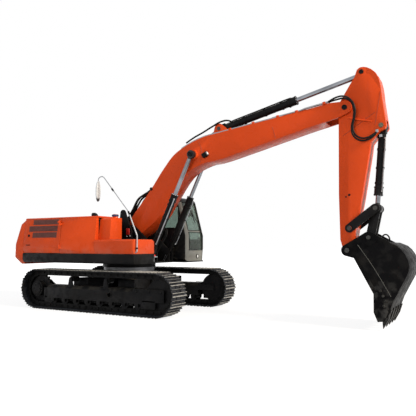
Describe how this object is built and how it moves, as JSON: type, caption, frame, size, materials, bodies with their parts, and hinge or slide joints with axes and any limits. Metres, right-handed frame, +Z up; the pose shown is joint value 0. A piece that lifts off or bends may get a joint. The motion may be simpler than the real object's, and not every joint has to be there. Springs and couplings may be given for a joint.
{
  "type": "crawler excavator",
  "caption": "Crawler excavator: tracked undercarriage, slewing house with cab and counterweight, boom, stick and toothed bucket on hydraulic cylinders.",
  "frame": {"origin": "on the ground under the slew axis, where the machine stands", "axes": "+X to the front along the tracks and the boom, +Y to the left side with the cab, +Z up"},
  "size_m": [10.8229, 3.19, 5.643],
  "materials": {
    "orange_paint": "glossy orange-red paint, dusty and faded",
    "black_paint": "semi-gloss black paint with dust",
    "cab_paint": "dark grey to black cab paint",
    "galvanized": "dull galvanized steel tube",
    "track_steel": "dark forged steel, worn bright on the grousers",
    "bare_steel": "grey machined and painted iron",
    "chrome_rod": "hard chrome plated rod",
    "cab_glazing": "green tinted safety glass",
    "seat_cloth": "dark woven cloth",
    "black_plastic": "grained black plastic",
    "bucket_steel": "black paint worn by digging",
    "worn_steel": "cast steel worn by digging"
  },
  "bodies": {
    "undercarriage": {"carbody": "black_paint", "track_frames": "black_paint", "right_track": "track_steel", "left_track": "track_steel", "sprockets": "black_paint", "idlers": "black_paint", "track_rollers": "black_paint", "carrier_rollers": "black_paint", "final_drives": "black_paint", "slew_ring": "bare_steel", "tow_eyes": "black_paint"},
    "house": {"turntable": "black_paint", "skirts": "black_paint", "counterweight": "orange_paint", "engine": "bare_steel", "right_panel": "orange_paint", "left_panel": "orange_paint", "right_deck": "orange_paint", "left_deck": "orange_paint", "center_cover": "black_paint", "fuel_tank": "orange_paint", "tool_box": "orange_paint", "cab_frame": "cab_paint", "cab_floor": "black_paint", "cab_roof": "cab_paint", "cab_glass": "cab_glazing", "seat": "seat_cloth", "consoles": "black_plastic", "exhaust": "black_paint", "handrails": "galvanized", "mirrors": "black_paint"},
    "cab_door": {"cab_door": "cab_paint", "door_glass": "cab_glazing"},
    "engine_hood": {"engine_hood": "orange_paint"},
    "pump_door": {"pump_door": "orange_paint"},
    "cooler_door": {"cooler_door": "orange_paint"},
    "boom": {"boom": "orange_paint", "boom_lamp": "black_paint", "boom_pipes": "black_paint"},
    "boom_barrels": {"boom_barrels": "black_paint"},
    "boom_rods": {"boom_rods": "chrome_rod"},
    "stick_barrel": {"stick_barrel": "black_paint"},
    "stick_rod": {"stick_rod": "chrome_rod"},
    "stick": {"stick": "orange_paint", "stick_pipes": "black_paint"},
    "bucket_barrel": {"bucket_barrel": "black_paint"},
    "bucket_rod": {"bucket_rod": "chrome_rod"},
    "rockers": {"rockers": "black_paint"},
    "bucket_link": {"bucket_link": "black_paint"},
    "bucket": {"bucket": "bucket_steel", "bucket_teeth": "worn_steel"}
  },
  "joints": [
    {"name": "slew", "type": "hinge", "parent": "undercarriage", "child": "house", "pos_m": [0, 0, 1.12], "axis": [0, 0, 1], "continuous": true},
    {"name": "boom_lift", "type": "hinge", "parent": "house", "child": "boom", "pos_m": [0.31, 0, 2.08], "axis": [0, -1, 0], "range_deg": [-71, 32]},
    {"name": "stick_swing", "type": "hinge", "parent": "boom", "child": "stick", "pos_m": [6.19745, 0, 4.76307], "axis": [0, 1, 0], "range_deg": [-90, 27]},
    {"name": "bucket_curl", "type": "hinge", "parent": "stick", "child": "bucket", "pos_m": [6.19745, 0, 1.60306], "axis": [0, 1, 0], "range_deg": [-12, 158]},
    {"name": "boom_barrel_pivot", "type": "hinge", "parent": "house", "child": "boom_barrels", "pos_m": [1.07, 0, 1.55], "axis": [0, -1, 0], "range_deg": [-77, 35]},
    {"name": "boom_rod_slide", "type": "slide", "parent": "boom_barrels", "child": "boom_rods", "axis": [0.4372, 0, 0.8994], "range_m": [-0.96, 0.44]},
    {"name": "stick_barrel_pivot", "type": "hinge", "parent": "boom", "child": "stick_barrel", "pos_m": [2.95932, 0, 4.69163], "axis": [0, 1, 0], "range_deg": [-4, 2]},
    {"name": "stick_rod_slide", "type": "slide", "parent": "stick_barrel", "child": "stick_rod", "axis": [0.9745, 0, 0.2245], "range_m": [-1.15, 0.35]},
    {"name": "bucket_barrel_pivot", "type": "hinge", "parent": "stick", "child": "bucket_barrel", "pos_m": [6.95743, 0, 4.28306], "axis": [0, 1, 0], "range_deg": [-1, 3]},
    {"name": "bucket_rod_slide", "type": "slide", "parent": "bucket_barrel", "child": "bucket_rod", "axis": [-0.0895, 0, -0.996], "range_m": [-0.1, 1.21]},
    {"name": "rocker_pivot", "type": "hinge", "parent": "stick", "child": "rockers", "pos_m": [6.24232, 0, 2.08307], "axis": [0, 1, 0], "range_deg": [-10, 115]},
    {"name": "link_pivot", "type": "hinge", "parent": "bucket", "child": "bucket_link", "pos_m": [6.65691, 0, 1.87783], "axis": [0, 1, 0], "range_deg": [-110, 10]},
    {"name": "cab_door_swing", "type": "hinge", "parent": "house", "child": "cab_door", "pos_m": [0.7328, 1.459, 2.1], "axis": [0, 0, 1], "range_deg": [0, 160]},
    {"name": "hood_lift", "type": "hinge", "parent": "house", "child": "engine_hood", "pos_m": [-1.165, 0, 2.508], "axis": [0, 1, 0], "range_deg": [0, 70]},
    {"name": "pump_door_swing", "type": "hinge", "parent": "house", "child": "pump_door", "pos_m": [-1.204, -1.515, 1.9], "axis": [0, 0, 1], "range_deg": [0, 110]},
    {"name": "cooler_door_swing", "type": "hinge", "parent": "house", "child": "cooler_door", "pos_m": [-1.204, 1.515, 1.9], "axis": [0, 0, -1], "range_deg": [0, 110]}
  ],
  "couplings": [
    {"joint": "boom_barrel_pivot", "follows": "boom_lift", "ratio": 1.0649},
    {"joint": "boom_rod_slide", "follows": "boom_lift", "m_per_rad": 0.76297},
    {"joint": "stick_barrel_pivot", "follows": "stick_swing", "ratio": 0.0339},
    {"joint": "stick_rod_slide", "follows": "stick_swing", "m_per_rad": 0.72308},
    {"joint": "bucket_barrel_pivot", "follows": "bucket_curl", "ratio": 0.01474},
    {"joint": "bucket_rod_slide", "follows": "bucket_curl", "m_per_rad": 0.4323},
    {"joint": "rocker_pivot", "follows": "bucket_curl", "ratio": 0.7152},
    {"joint": "link_pivot", "follows": "bucket_curl", "ratio": -0.6874}
  ]
}
